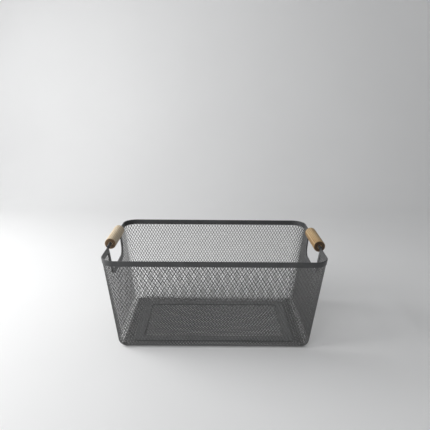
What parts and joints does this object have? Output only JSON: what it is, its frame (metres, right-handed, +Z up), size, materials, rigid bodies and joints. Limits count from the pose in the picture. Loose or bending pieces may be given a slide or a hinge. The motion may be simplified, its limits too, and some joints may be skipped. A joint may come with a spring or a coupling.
{
  "type": "wire mesh storage basket",
  "caption": "Open rectangular basket of steel diamond mesh with flared walls, a folded flat rim, a flat base ring and a turned wooden grip across a hand hole at each end.",
  "frame": {"origin": "centre of the footprint, at the underside of the lower base ring", "axes": "+X along the length towards the right-hand grip, +Y towards the rear wall, +Z up"},
  "size_m": [0.4192, 0.2698, 0.188],
  "materials": {
    "powder_coated_steel": "satin",
    "turned_wood": "matte"
  },
  "bodies": {
    "basket": {"rim_band_front": "powder_coated_steel", "rim_band_rear": "powder_coated_steel", "mesh_front": "powder_coated_steel", "mesh_rear": "powder_coated_steel", "mesh_right_lower": "powder_coated_steel", "mesh_right_front": "powder_coated_steel", "mesh_right_rear": "powder_coated_steel", "mesh_left_lower": "powder_coated_steel", "mesh_left_front": "powder_coated_steel", "mesh_left_rear": "powder_coated_steel", "mesh_corner_rear_right": "powder_coated_steel", "mesh_corner_front_right": "powder_coated_steel", "mesh_corner_rear_left": "powder_coated_steel", "mesh_corner_front_left": "powder_coated_steel", "mesh_bottom_bend": "powder_coated_steel", "mesh_floor": "powder_coated_steel", "base_ring_upper": "powder_coated_steel", "base_ring_lower": "powder_coated_steel", "hand_hole_trim_right": "powder_coated_steel", "hand_hole_trim_left": "powder_coated_steel", "handle_rod_right": "powder_coated_steel", "handle_rod_left": "powder_coated_steel"},
    "grip_left": {"grip_left": "turned_wood"},
    "grip_right": {"grip_right": "turned_wood"}
  },
  "joints": [
    {"name": "grip_left_spin", "type": "hinge", "parent": "basket", "child": "grip_left", "pos_m": [-0.19857, 0.0088, 0.17701], "axis": [0, 1, 0], "continuous": true},
    {"name": "grip_right_spin", "type": "hinge", "parent": "basket", "child": "grip_right", "pos_m": [0.19857, 0, 0.17701], "axis": [0, 1, 0], "continuous": true}
  ]
}
